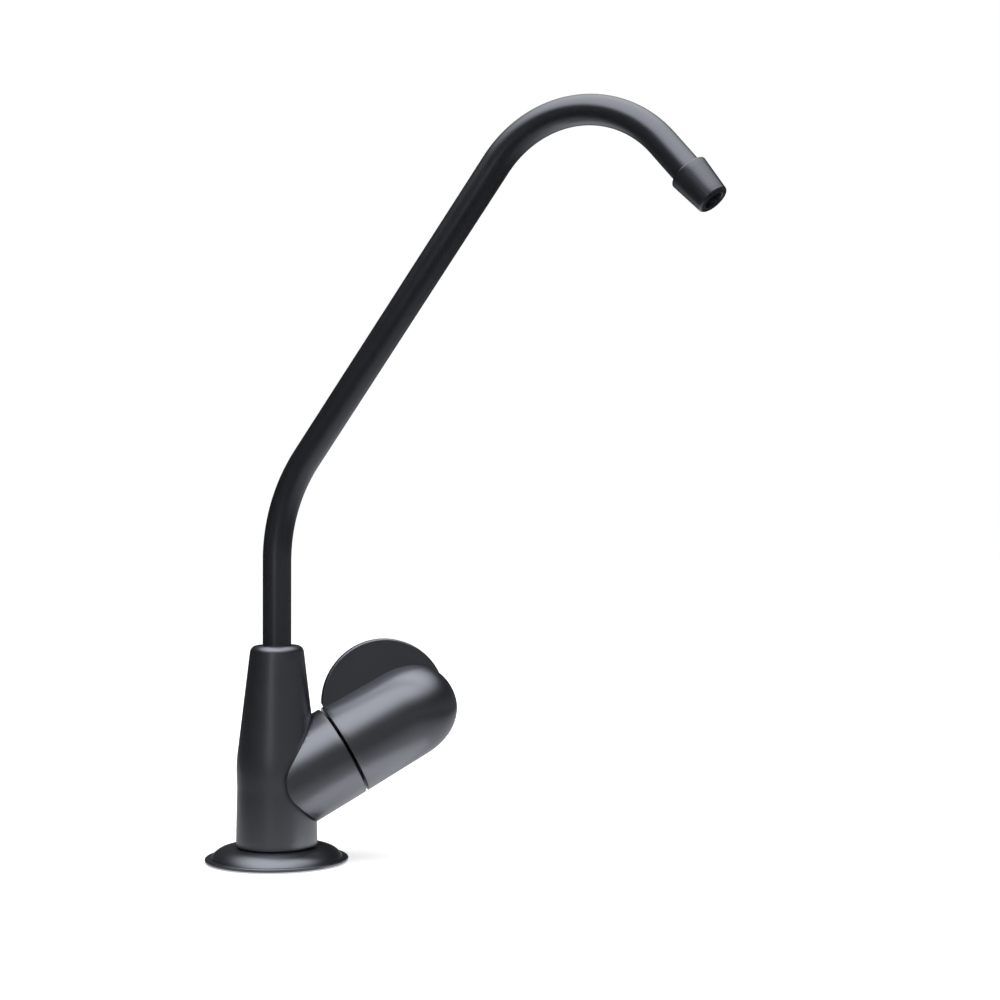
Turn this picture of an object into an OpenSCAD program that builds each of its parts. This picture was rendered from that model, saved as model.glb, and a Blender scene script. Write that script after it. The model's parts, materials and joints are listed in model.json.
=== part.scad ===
// Drinking water filter tap: swivel spout, quarter-turn handle on an angled branch, threaded shank for a deck.
// Origin at the middle of the flange's seat on the deck, +Z up, +X along the spout at rest. Millimetres.

/* [Flange] */
// Diameter of the flange over its lip
flange_d = 50; // [46:0.5:60]
// Height of the lip at the flange's edge
lip_h = 1.2; // [0.7:0.1:1.4]
// Width of the ledge between the lip's edge and the dome
lip_ledge = 1.2; // [0.6:0.1:1.6]
// Height of the flange's top above the deck
flange_h = 5; // [3.8:0.1:6]
// Radius of the dome's section
dome_round = 10.5; // [10:0.5:30]
// Width of the flat land round the body's foot
land_w = 0.6; // [0.3:0.1:1.2]

/* [Gasket and foot washer] */
// Outer diameter of the gasket under the flange
gasket_d = 41.8; // [36:0.2:43]
// Inner diameter of the gasket
gasket_hole_d = 18; // [15:0.5:24]
// Thickness of the gasket
gasket_t = 1.6; // [1.2:0.1:1.8]
// How far the gasket stands out below the flange's lip
gasket_proud = 0.3; // [0.1:0.05:0.5]
// Thickness of the washer between the flange and the body
foot_washer_t = 0.5; // [0.3:0.1:1]

/* [Body] */
// Diameter of the body's lower cylinder
body_d = 27.6; // [25:0.2:30]
// Height of the body from its foot to its top
body_h = 70; // [66:0.2:80]
// How far the foot flares out
foot_flare = 0.4; // [0.3:0.1:1.2]
// Height of the foot's flare
foot_flare_h = 3; // [2:0.5:5]
// Diameter of the neck at its widest
swell_d = 28; // [27.2:0.2:31]
// Height of the widest place above the foot
swell_rise = 26.9; // [24:0.1:31]
// Radius of the swell's section
swell_round = 50; // [40:1:70]
// Diameter of the neck at the top, before its edge is rounded
neck_top_d = 18.3; // [17.6:0.1:21]
// Rounding of the neck's top edge
neck_edge = 2.4; // [1.2:0.1:2.4]

/* [Branch] */
// Turn of the branch from the spout's rest direction, in degrees
branch_turn = 43; // [0:1:90]
// Rise of the branch above level, in degrees
branch_tilt = 29; // [24:0.2:34]
// Height above the foot where the branch's axis crosses the body's axis
branch_rise = 19.6; // [18:0.1:24]
// Distance along the branch's axis from the body's axis to the branch's end
branch_reach = 26.6; // [26:0.2:34]
// Diameter of the branch at its end
branch_d = 33.4; // [32:0.2:36]
// Draft of the branch, in degrees
branch_draft = 0.5; // [0.5:0.5:3]
// Slope of the lower seam between branch and body, in degrees
seam_low_slope = 40.6; // [34:0.2:48]
// How far the seam's corner lies behind the body's axis, before rounding
seam_back = 2; // [0:0.1:4]
// Height of the seam's corner above the axes' crossing
seam_rise = 2.1; // [0:0.1:4]
// Rounding of the seam's corner
seam_round = 10; // [6:0.5:14]

/* [Spout] */
// Outer diameter of the spout's tube
tube_d = 10; // [9:0.1:10.6]
// Wall of the spout's tube
tube_wall = 1; // [0.6:0.1:1.5]
// Height of the lower bend's start above the body's top
tube_rise = 29.5; // [20:0.5:60]
// Radius of the lower bend
low_bend_r = 58; // [40:1:80]
// Turn of the lower bend, in degrees
low_bend_turn = 37.9; // [30:0.1:45]
// Length of the straight slope
slope_len = 121.8; // [90:0.2:150]
// Radius of the top bend
top_bend_r = 38.6; // [30:0.2:50]
// Turn of the top bend, in degrees
top_bend_turn = 100.6; // [80:0.2:125]
// Length of straight tube between the top bend and the nozzle
tail_len = 13.3; // [6:0.1:30]
// Height of the faint ring that bending leaves at each end of a bend
bend_mark_h = 0.02; // [0.01:0.01:0.05]
// Width of that ring
bend_mark_w = 1; // [0.6:0.1:1.2]
// Distance between a straight's end and the bend, under that ring
bend_setback = 0.02; // [0.01:0.01:0.05]

/* [Nozzle] */
// Diameter of the nozzle's shoulder
nozzle_d = 13.2; // [12.2:0.1:16]
// Diameter of the nozzle's tip
nozzle_tip_d = 10.6; // [9:0.1:12]
// Length of the nozzle
nozzle_len = 13.1; // [10.4:0.1:20]
// Diameter of the nozzle's outlet
outlet_d = 5.2; // [4:0.1:6]
// Depth of the tube inside the nozzle
nozzle_socket = 8; // [5:0.5:8.4]
// Rounding of the nozzle's edges
nozzle_edge = 0.9; // [0.4:0.1:1.1]

/* [Spout socket] */
// Diameter of the socket in the body's top
socket_d = 13.2; // [12.9:0.1:13.6]
// Depth of the socket
socket_depth = 23.5; // [22:0.5:28]
// Thickness of the slip washer on the socket's floor
slip_washer_t = 1; // [0.5:0.1:2]
// Length of the brass stem on the tube's foot
stem_len = 16; // [14:0.5:16.6]
// Thickness of the stem's floor under the tube
stem_floor = 2; // [1:0.5:3]
// Thickness of the socket's circlip
socket_clip_t = 1; // [0.8:0.1:1.2]
// Depth of the circlip's groove in the socket's wall
socket_clip_groove = 0.8; // [0.5:0.1:1]
// How far the guide bush lies below the body's top
bush_recess = 0.3; // [0.1:0.1:1]
// Section diameter of the stem's seals
stem_seal_d = 1; // [0.8:0.05:1]
// Distance between the stem's two seals
stem_seal_gap = 5; // [3:0.5:6]

/* [Valve] */
// Distance along the branch's axis from the body's axis to the chamber's floor
chamber_start = 8; // [7.4:0.1:9]
// Diameter of the valve's chamber
chamber_d = 20; // [19.6:0.1:22]
// Diameter of the chamber's mouth
mouth_d = 25; // [24:0.2:27]
// Depth of the chamber's mouth
mouth_depth = 5.6; // [5:0.1:6.2]
// Diameter of the drilled waterways
waterway_d = 5; // [4:0.1:6]
// Thickness of the seat's seal
seat_seal_t = 1.6; // [1:0.1:2]
// Width of the seat's seal
seat_seal_w = 1.8; // [1.2:0.1:2]
// Diameter of the ceramic discs
disc_d = 17; // [16.4:0.1:17.2]
// Thickness of each ceramic disc
disc_t = 3; // [2.5:0.1:3.2]
// Diameter of the ports through the discs
port_d = 4; // [3:0.1:4.4]
// Distance of each port from the discs' middle
port_offset = 4.2; // [3.6:0.1:4.4]
// Thickness of the spindle's drive plate
drive_plate_t = 2.2; // [1.6:0.1:2.6]
// Depth of the drive lugs in the moving disc
lug_depth = 1; // [0.6:0.1:1.4]
// Thickness of the thrust washer
thrust_washer_t = 0.5; // [0.3:0.1:0.8]
// Diameter of the spindle
spindle_d = 9; // [8.4:0.1:9.6]
// Section diameter of the spindle's seals
spindle_seal_d = 1.4; // [1.2:0.1:1.6]
// Distance between the spindle's two seals
spindle_seal_gap = 4; // [3:0.2:5]
// Width across the flats of the housing's hexagon
hexagon_af = 17; // [16:0.5:19]
// Length of the housing's neck outside the branch
housing_neck = 3.1; // [2:0.1:4]
// Diameter of the housing's neck
housing_neck_d = 14; // [13:0.2:16]
// Thickness of the spindle's circlip
spindle_clip_t = 0.8; // [0.6:0.1:1]
// Section diameter of the housing's seal
housing_seal_d = 1.5; // [1.2:0.1:1.8]

/* [Handle] */
// Gap between the branch and the handle
handle_gap = 1; // [0.6:0.1:1.6]
// Length of the capsule's side, up to its dome
capsule_len = 28; // [24:0.2:34]
// Diameter of the capsule where the dome starts
dome_d = 32.2; // [28:0.1:32.4]
// Wall of the capsule
capsule_wall = 3; // [2.5:0.1:3.5]
// Diameter of the disc paddle
paddle_d = 44.8; // [40:0.2:50]
// Thickness of the paddle
paddle_t = 3; // [2:0.1:4]
// Rounding of the paddle's rim
paddle_edge = 0.9; // [0.4:0.1:0.95]
// Distance of the paddle's middle from the handle's axis
paddle_rise = 7.5; // [6:0.1:11]
// Distance of the paddle's middle from the branch's end
paddle_reach = 21.1; // [18:0.1:24]
// Diameter of the boss that holds the spindle
boss_d = 15; // [13.5:0.1:17]
// Length of the splined end of the spindle
spline_len = 10; // [8:0.5:12]
// Number of splines
spline_count = 20; // [12:1:24]
// Depth of the groove for the spindle's circlip
spindle_clip_groove = 0.8; // [0.7:0.05:1]
// Depth of the splines
spline_depth = 0.45; // [0.3:0.05:0.6]
// Diameter of the grub screw
grub_d = 4; // [3:0.5:5]
// Length of the grub screw
grub_len = 5; // [4:0.5:6]
// Width across the flats of the grub screw's socket
grub_key = 2; // [1.5:0.1:2.2]

/* [Shank and clamp] */
// Diameter of the threaded shank
shank_d = 11.1125; // [10:0.1:12.2]
// Length of the shank below the deck
shank_len = 56; // [50:1:80]
// Diameter of the shank's bore
shank_bore_d = 6; // [5:0.1:6.6]
// Diameter of the shank's thread in the body
shank_top_d = 10; // [9:0.1:10.4]
// Depth of the shank's thread in the body
shank_top_len = 11.8; // [9:0.1:12]
// Diameter of the collar that centres the flange
collar_d = 12.8; // [12.4:0.1:14]
// Length of plain shank below the deck
plain_len = 16; // [10:1:20]
// Width of the relief between the plain shank and the thread
relief_w = 2; // [1.2:0.1:3]
// Depth of the relief
relief_depth = 0.5; // [0.3:0.05:0.8]
// Thickness of the deck that the clamp is set to
deck_t = 20; // [18:1:24]
// Diameter of the soft washer under the deck
soft_washer_d = 32; // [26:0.5:38]
// Thickness of the soft washer
soft_washer_t = 2; // [1:0.1:4]
// Diameter of the metal washer
metal_washer_d = 28; // [22:0.5:36]
// Thickness of the metal washer
metal_washer_t = 1.2; // [0.8:0.1:2]
// Diameter of the lock washer
lock_washer_d = 18; // [16:0.2:20]
// Thickness of the lock washer
lock_washer_t = 1.2; // [0.8:0.1:2]
// Width of the cut in the lock washer
lock_cut = 1; // [0.6:0.1:2]
// Width across the flats of the fixing nut
nut_af = 17.5; // [16:0.5:20]
// Height of the fixing nut
nut_h = 6; // [5:0.1:8]

/* [Inlet] */
// Diameter of the inlet connector
connector_d = 17; // [15.5:0.5:20]
// Length of the connector on the shank's thread
connector_grip = 10; // [7:0.5:12]
// Diameter of the water hole in the connector
connector_hole_d = 4.8; // [4:0.1:5.6]
// Thickness of the stop between the shank and the inlet tube
tube_stop_t = 2; // [1.5:0.1:3]
// Diameter of the inlet tube's guide
guide_d = 6.4; // [6:0.05:6.8]
// Length of the inlet tube's guide
guide_len = 6; // [4:0.5:9]
// Section diameter of the inlet's seal
inlet_seal_d = 1.65; // [1.4:0.05:1.9]
// Diameter of the chamber that holds the collet
collet_chamber_d = 11; // [10.6:0.1:12]
// Length of the chamber that holds the collet
collet_chamber_len = 8; // [7:0.5:10]
// Thickness of the grip ring
grip_ring_t = 0.6; // [0.4:0.1:1]
// Diameter of the collet's flange
collet_flange_d = 14.4; // [13:0.2:16]
// Thickness of the collet's flange
collet_flange_t = 1.4; // [1:0.1:2]
// How far the collet can be pushed in
collet_travel = 1.5; // [1:0.1:1.8]

/* [Clearances] */
// Radial clearance where one piece turns or slides in another
running = 0.05; // [0.02:0.01:0.08]
// Clearance between a fixed piece and its seat
seat_clear = 0.05; // [0.02:0.01:0.1]
// Clearance between pieces that pass without touching
pass_clear = 0.5; // [0.3:0.05:0.8]

/* [Hidden] */
$fn = 96;

// How far a rounding stands over the sides that it joins, so that their outlines cross
overlap = 0.01;

// Finishes
satin_black = "#2b2d32";
rubber_black = "#161718";
brass = "#b8974f";
steel = "#a9adb2";
ceramic = "#ece8de";
white_plastic = "#e6e6e2";
nylon = "#c9c6ba";

// Heights above the deck
flange_top = flange_h;
foot_z = flange_top + foot_washer_t;
body_top = foot_z + body_h;
branch_z = foot_z + branch_rise;
socket_floor = body_top - socket_depth;
stem_z = socket_floor + slip_washer_t;
tube_foot_z = stem_z + stem_floor;
stem_top = stem_z + stem_len;
clip_z = stem_top + seat_clear;
bush_z = clip_z + socket_clip_t + seat_clear;

// Body outline
body_r = body_d / 2;
swell_r = swell_d / 2;
swell_z = foot_z + swell_rise;
swell_centre = [swell_r - swell_round, swell_z];
neck_corner = [neck_top_d / 2, body_top];
corner_from_swell = neck_corner - swell_centre;
neck_lean = atan2(corner_from_swell.y, corner_from_swell.x) - acos(swell_round / norm(corner_from_swell));
neck_normal = [cos(neck_lean), sin(neck_lean)];
neck_start = swell_centre + swell_round * neck_normal;
neck_edge_z = body_top - neck_edge;
neck_edge_x = (neck_start * neck_normal - neck_edge - neck_edge_z * neck_normal.y) / neck_normal.x;
neck_edge_centre = [neck_edge_x, neck_edge_z];
flare_round = (foot_flare_h * foot_flare_h + foot_flare * foot_flare) / (2 * foot_flare);

// Flange outline
foot_r = body_r + foot_flare;
land_r = foot_r + land_w;
lip_top = gasket_proud + lip_h;
dome_foot = [flange_d / 2 - lip_ledge, lip_top];
dome_head = [land_r, flange_top];
dome_chord = dome_foot - dome_head;
dome_sag = sqrt(dome_round * dome_round - dome_chord * dome_chord / 4);
dome_centre = (dome_foot + dome_head) / 2 + dome_sag * [dome_chord.y, -dome_chord.x] / norm(dome_chord);

// Seam between branch and body, in the branch's upright plane
seam_corner = [-seam_back, branch_z + seam_rise];
seam_high_slope = (90 + branch_tilt) / 2;
seam_half = (seam_high_slope + seam_low_slope) / 2;
seam_middle = (seam_high_slope - seam_low_slope) / 2;
seam_centre = seam_corner + seam_round / sin(seam_half) * [cos(seam_middle), sin(seam_middle)];
seam_tangent = seam_round / tan(seam_half);
seam_far = 3 * branch_reach;

// Places along the branch's axis
mouth_start = branch_reach - mouth_depth;
disc_fixed_t = chamber_start + seat_seal_t;
disc_moving_t = disc_fixed_t + disc_t;
drive_plate_start = disc_moving_t + disc_t;
thrust_start = drive_plate_start + drive_plate_t;
shaft_start = drive_plate_start + drive_plate_t / 2;
housing_shoulder = thrust_start + thrust_washer_t;
housing_end = branch_reach + housing_neck;
hexagon_start = mouth_start + mouth_depth / 2;
spindle_clip_start = housing_end + seat_clear;
spline_start = spindle_clip_start + spindle_clip_t + 2 * seat_clear;
spindle_end = spline_start + spline_len;
handle_start = branch_reach + handle_gap;
dome_start = branch_reach + handle_gap + capsule_len;
paddle_t_place = branch_reach + paddle_reach;
boss_start = spline_start + pass_clear;
grub_place = (boss_start + spindle_end) / 2;
outlet_aim = disc_moving_t + disc_t / 2;
window_h = thrust_start - outlet_aim;

// Valve radii
chamber_r = chamber_d / 2;
housing_r = chamber_r - seat_clear;
disc_r = disc_d / 2;
skirt_r = disc_r + running;
drive_plate_r = disc_r - pass_clear;
spindle_r = spindle_d / 2;
spindle_bore_r = spindle_r + running;
spindle_seal_r = spindle_seal_d / 2;
spindle_seal_ring_r = spindle_bore_r - running / 2 - spindle_seal_r;
housing_seal_r = housing_seal_d / 2;
housing_seal_ring_r = chamber_r - seat_clear - housing_seal_r;
housing_seal_t = (housing_shoulder + mouth_start) / 2;
spindle_seal_inner_t = housing_shoulder + spindle_seal_d;
spindle_seal_outer_t = spindle_seal_inner_t + spindle_seal_gap;
spline_r = spindle_r - seat_clear;
clip_root_r = spindle_r - spindle_clip_groove;
drive_bar_w = 2 * port_offset - port_d;
window_w = disc_r;
lug_r = drive_bar_w / 2 - seat_clear;

// Spout sizes
tube_r = tube_d / 2;
tube_bore_r = tube_r - tube_wall;
socket_r = socket_d / 2;
stem_r = socket_r - running;
stem_seal_r = stem_seal_d / 2;
stem_seal_ring_r = socket_r - running - stem_seal_r;
stem_seal_low_z = stem_z + (stem_len - stem_seal_gap) / 2;
stem_seal_high_z = stem_seal_low_z + stem_seal_gap;

// Handle sizes
capsule_r = branch_d / 2;
dome_r = dome_d / 2;
cavity_r = dome_r - capsule_wall;
paddle_r = paddle_d / 2;
boss_r = boss_d / 2;
grub_r = grub_d / 2;

// Heights below the deck
shank_r = shank_d / 2;
shank_end = -shank_len;
soft_washer_z = -deck_t - soft_washer_t;
metal_washer_z = soft_washer_z - metal_washer_t;
lock_washer_z = metal_washer_z - lock_washer_t;
nut_z = lock_washer_z - nut_h;
collar_r = collar_d / 2;
connector_top = shank_end + connector_grip;
stop_top = shank_end - seat_clear;
guide_top = stop_top - tube_stop_t;
seal_chamber_top = guide_top - guide_len;
seal_chamber_len = inlet_seal_d + 2 * seat_clear;
collet_chamber_top = seal_chamber_top - seal_chamber_len;
connector_end = collet_chamber_top - collet_chamber_len;
guide_r = guide_d / 2;
collet_bore_r = guide_r + 2 * seat_clear;
inlet_seal_r = inlet_seal_d / 2;
inlet_seal_ring_r = guide_r + seat_clear + inlet_seal_r;
seal_chamber_r = inlet_seal_ring_r + inlet_seal_r + seat_clear;
collet_r = collet_chamber_d / 2 - running;
grip_ring_z = collet_chamber_top - seat_clear - grip_ring_t;
collet_top = grip_ring_z - seat_clear - collet_travel;
collet_flange_top = connector_end - seat_clear - collet_travel;

// Children are drawn with +Z along the branch's axis and -X upwards
module on_branch(along = 0)
    translate([0, 0, branch_z])
        rotate([0, 0, branch_turn])
            rotate([0, 90 - branch_tilt, 0])
                translate([0, 0, along])
                    children();

// A ring with square edges
module ring(outer, inner, height)
    linear_extrude(height)
        difference() {
            circle(outer);
            circle(inner);
        }

// A round seal
module seal(ring_r, section_r)
    rotate_extrude()
        translate([ring_r, 0])
            circle(section_r);

// A ring with a cut across one side
module open_ring(outer, inner, height, cut)
    linear_extrude(height)
        difference() {
            circle(outer);
            circle(inner);
            translate([0, -cut / 2])
                square([2 * outer, cut]);
        }

// Outline of the splines, alternating between the root and the tip
module spline_outline(tip_r)
    polygon([for (i = [0 : 2 * spline_count - 1])
        let (r = i % 2 == 0 ? tip_r : tip_r - spline_depth, a = i * 180 / spline_count)
        [r * cos(a), r * sin(a)]]);

// Frames along the spout: the tube runs along +Z and bends towards +X
module past_straight(length)
    translate([0, 0, length])
        children();

module past_bend(radius, turn)
    translate([radius * (1 - cos(turn)), 0, radius * sin(turn)])
        rotate([0, turn, 0])
            children();

module at_low_bend()
    translate([0, 0, body_top + tube_rise])
        children();

module at_slope()
    at_low_bend()
        past_bend(low_bend_r, low_bend_turn)
            children();

module at_top_bend()
    at_slope()
        past_straight(slope_len)
            children();

module at_tail()
    at_top_bend()
        past_bend(top_bend_r, top_bend_turn)
            children();

module at_nozzle()
    at_tail()
        past_straight(tail_len)
            children();

module tube_section()
    difference() {
        circle(tube_r);
        circle(tube_bore_r);
    }

module tube_straight(length)
    translate([0, 0, bend_setback])
        linear_extrude(length - 2 * bend_setback)
            tube_section();

module bend_mark()
    translate([0, 0, -bend_mark_w / 2])
        ring(tube_r + bend_mark_h, tube_r - tube_wall / 2, bend_mark_w);

module tube_bend(radius, turn)
    translate([radius, 0, 0])
        rotate([90, 0, 180])
            rotate_extrude(angle = turn)
                translate([radius, 0])
                    tube_section();

module body_outline() {
    translate([0, foot_z])
        square([body_r, swell_rise]);
    // Foot's flare
    difference() {
        translate([0, foot_z])
            square([foot_r, foot_flare_h]);
        translate([body_r + flare_round, foot_z + foot_flare_h])
            circle(flare_round);
    }
    // Swell between the lower cylinder and the neck
    intersection() {
        translate(swell_centre)
            circle(swell_round);
        translate([0, foot_z])
            square([swell_d, neck_start.y - foot_z]);
    }
    polygon([
        [0, neck_start.y],
        neck_start - overlap * neck_normal,
        neck_edge_centre + (neck_edge - overlap) * neck_normal,
        neck_edge_centre,
        [neck_edge_x, body_top],
        [0, body_top],
    ]);
    translate(neck_edge_centre)
        circle(neck_edge);
}

module seam_outline() {
    function along_seam(slope, length) = seam_corner + length * [cos(slope), sin(slope)];
    translate(seam_centre)
        circle(seam_round + overlap);
    polygon([
        seam_centre,
        along_seam(seam_high_slope, seam_tangent),
        along_seam(seam_high_slope, seam_far),
        along_seam(-seam_low_slope, seam_far),
        along_seam(-seam_low_slope, seam_tangent),
    ]);
}

module branch_shape()
    intersection() {
        on_branch(-branch_reach)
            cylinder(h = 2 * branch_reach, r1 = branch_d / 2 + 2 * branch_reach * tan(branch_draft), r2 = branch_d / 2);
        rotate([0, 0, branch_turn])
            rotate([90, 0, 0])
                linear_extrude(2 * branch_d, center = true)
                    seam_outline();
    }

module body_waterways() {
    outlet_start = [0, socket_floor + waterway_d];
    outlet_end = [0, branch_z] + outlet_aim * [cos(branch_tilt), sin(branch_tilt)];
    outlet_way = outlet_end - outlet_start;
    // Thread for the shank and the way up from it
    translate([0, 0, foot_z - pass_clear])
        cylinder(h = shank_top_len + pass_clear + seat_clear, r = shank_top_d / 2 + seat_clear);
    translate([0, 0, foot_z])
        cylinder(h = branch_rise, r = shank_bore_d / 2);
    // Way into the chamber, the chamber and its mouth
    on_branch()
        cylinder(h = chamber_start + pass_clear, r = waterway_d / 2);
    on_branch(chamber_start)
        cylinder(h = branch_reach, r = chamber_r);
    on_branch(mouth_start)
        cylinder(h = branch_reach, r = mouth_d / 2);
    // Way from the chamber to the spout's socket
    translate([0, 0, outlet_start.y])
        rotate([0, 0, branch_turn])
            rotate([0, 180 - atan2(outlet_way.x, -outlet_way.y), 0])
                cylinder(h = norm(outlet_way), r = waterway_d / 2);
    // Spout's socket and its circlip's groove
    translate([0, 0, socket_floor])
        cylinder(h = 2 * socket_depth, r = socket_r);
    translate([0, 0, clip_z - seat_clear])
        cylinder(h = socket_clip_t + 2 * seat_clear, r = socket_r + socket_clip_groove);
}

module body()
    color(satin_black)
        difference() {
            union() {
                rotate_extrude()
                    body_outline();
                branch_shape();
            }
            body_waterways();
        }

module escutcheon_plate()
    color(satin_black)
        rotate_extrude()
            difference() {
                union() {
                    intersection() {
                        translate(dome_centre)
                            circle(dome_round);
                        translate([0, gasket_proud])
                            square([dome_foot.x, flange_top - gasket_proud]);
                    }
                    translate([0, gasket_proud])
                        square([(flange_d - lip_h) / 2, lip_h]);
                    translate([(flange_d - lip_h) / 2, gasket_proud + lip_h / 2])
                        circle(lip_h / 2);
                }
                square([collar_r + running, flange_top]);
                translate([gasket_hole_d / 2 - seat_clear, 0])
                    square([(gasket_d - gasket_hole_d) / 2 + 2 * seat_clear, gasket_t]);
            }

module base_gasket()
    color(rubber_black)
        ring(gasket_d / 2, gasket_hole_d / 2, gasket_t);

module foot_washer()
    color(rubber_black)
        translate([0, 0, flange_top])
            ring(body_r - pass_clear, collar_r + running, foot_washer_t);

module spout_tube()
    color(satin_black) {
        translate([0, 0, tube_foot_z])
            tube_straight(body_top + tube_rise - tube_foot_z);
        at_low_bend() {
            bend_mark();
            tube_bend(low_bend_r, low_bend_turn);
        }
        at_slope() {
            bend_mark();
            tube_straight(slope_len);
        }
        at_top_bend() {
            bend_mark();
            tube_bend(top_bend_r, top_bend_turn);
        }
        at_tail() {
            bend_mark();
            tube_straight(tail_len + nozzle_socket);
        }
    }

module nozzle_outline() {
    shoulder_r = nozzle_d / 2;
    tip_r = nozzle_tip_d / 2;
    lean = atan2(shoulder_r - tip_r, nozzle_len - 2 * nozzle_edge);
    side = [cos(lean), sin(lean)];
    shoulder_centre = [shoulder_r - nozzle_edge, nozzle_edge];
    tip_centre = [tip_r - nozzle_edge, nozzle_len - nozzle_edge];
    polygon([
        [0, 0],
        [shoulder_centre.x, 0],
        shoulder_centre,
        shoulder_centre + nozzle_edge * side,
        tip_centre + nozzle_edge * side,
        tip_centre,
        [tip_centre.x, nozzle_len],
        [0, nozzle_len],
    ]);
    for (centre = [shoulder_centre, tip_centre])
        translate(centre)
            circle(nozzle_edge + overlap);
}

module nozzle_tip()
    color(satin_black)
        at_nozzle()
            rotate_extrude()
                difference() {
                    nozzle_outline();
                    square([tube_r + seat_clear, nozzle_socket + seat_clear]);
                    square([outlet_d / 2, nozzle_len]);
                }

module spout_stem()
    color(brass)
        rotate_extrude()
            difference() {
                translate([0, stem_z])
                    square([stem_r, stem_len]);
                translate([0, tube_foot_z])
                    square([tube_r + seat_clear, stem_len]);
                translate([0, stem_z])
                    square([tube_bore_r, stem_floor]);
                for (z = [stem_seal_low_z, stem_seal_high_z])
                    translate([stem_seal_ring_r - stem_seal_r - seat_clear, z - stem_seal_r - seat_clear])
                        square(stem_seal_d + 2 * seat_clear);
            }

module spout_oring_lower()
    color(rubber_black)
        translate([0, 0, stem_seal_low_z])
            seal(stem_seal_ring_r, stem_seal_r);

module spout_oring_upper()
    color(rubber_black)
        translate([0, 0, stem_seal_high_z])
            seal(stem_seal_ring_r, stem_seal_r);

module spout_slip_washer()
    color(nylon)
        translate([0, 0, socket_floor])
            ring(stem_r, tube_bore_r, slip_washer_t);

module spout_circlip()
    color(steel)
        translate([0, 0, clip_z])
            open_ring(socket_r + socket_clip_groove - seat_clear, tube_r + pass_clear, socket_clip_t, tube_r);

module spout_guide_bush()
    color(rubber_black)
        translate([0, 0, bush_z])
            ring(socket_r - seat_clear, tube_r + running, body_top - bush_recess - bush_z);

module capsule_outline() {
    // Dome's centre sits where its ball meets the side without a crease
    draft = atan2(capsule_r - dome_r, capsule_len);
    ball_r = dome_r / cos(draft);
    ball_t = dome_start - ball_r * sin(draft);
    polygon([
        [0, handle_start],
        [capsule_r, handle_start],
        [dome_r, dome_start],
        [0, dome_start],
    ]);
    intersection() {
        translate([0, ball_t])
            circle(ball_r);
        translate([0, dome_start])
            square([dome_d, dome_d]);
    }
}

module paddle_shape()
    on_branch(paddle_t_place)
        translate([-paddle_rise, 0, 0])
            rotate([90, 0, 0])
                translate([0, 0, -paddle_t / 2])
                    rotate_extrude() {
                        square([paddle_r - paddle_edge, paddle_t]);
                        translate([0, paddle_edge])
                            square([paddle_r, paddle_t - 2 * paddle_edge]);
                        for (z = [paddle_edge, paddle_t - paddle_edge])
                            translate([paddle_r - paddle_edge, z])
                                circle(paddle_edge);
                    }

module handle()
    color(satin_black)
        difference() {
            union() {
                on_branch()
                    rotate_extrude()
                        capsule_outline();
                paddle_shape();
            }
            // Room for the paddle to pass the branch
            on_branch()
                cylinder(h = handle_start, r = capsule_r + pass_clear);
            // Hollow round the boss
            on_branch()
                rotate_extrude()
                    difference() {
                        square([cavity_r, dome_start]);
                        translate([0, boss_start])
                            square([boss_r, dome_start]);
                    }
            // Splined socket
            on_branch(spline_start)
                linear_extrude(spline_len + pass_clear)
                    spline_outline(spline_r + seat_clear);
            // Hole for the grub screw, opposite the paddle
            on_branch(grub_place)
                rotate([0, 90, 0])
                    cylinder(h = branch_d, r = grub_r + seat_clear);
        }

module handle_grub_screw()
    color(steel)
        on_branch(grub_place)
            rotate([0, 90, 0])
                translate([0, 0, spline_r + 2 * seat_clear])
                    difference() {
                        cylinder(h = grub_len, r = grub_r);
                        translate([0, 0, grub_len / 2])
                            cylinder(h = grub_len, r = grub_key / sqrt(3), $fn = 6);
                    }

module cartridge_housing()
    color(brass)
        difference() {
            union() {
                on_branch()
                    rotate_extrude() {
                        translate([0, disc_fixed_t])
                            square([housing_r, mouth_start - disc_fixed_t]);
                        translate([0, mouth_start])
                            square([mouth_d / 2 - seat_clear, hexagon_start - mouth_start]);
                        translate([0, hexagon_start])
                            square([housing_neck_d / 2, housing_end - hexagon_start]);
                    }
                on_branch(hexagon_start)
                    cylinder(h = branch_reach - hexagon_start, r = hexagon_af / sqrt(3), $fn = 6);
            }
            // Room for the discs and the drive plate, the spindle's bore and the seal's groove
            on_branch()
                rotate_extrude() {
                    translate([0, disc_fixed_t])
                        square([skirt_r, housing_shoulder - disc_fixed_t]);
                    square([spindle_bore_r, 2 * housing_end]);
                    translate([housing_seal_ring_r - housing_seal_r - seat_clear,
                            housing_seal_t - housing_seal_r - seat_clear])
                        square([housing_seal_d + chamber_r, housing_seal_d + 2 * seat_clear]);
                }
            // Windows that let the water out
            on_branch(outlet_aim + window_h / 2)
                cube([2 * chamber_d, window_w, window_h], center = true);
        }

module housing_oring()
    color(rubber_black)
        on_branch(housing_seal_t)
            seal(housing_seal_ring_r, housing_seal_r);

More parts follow.
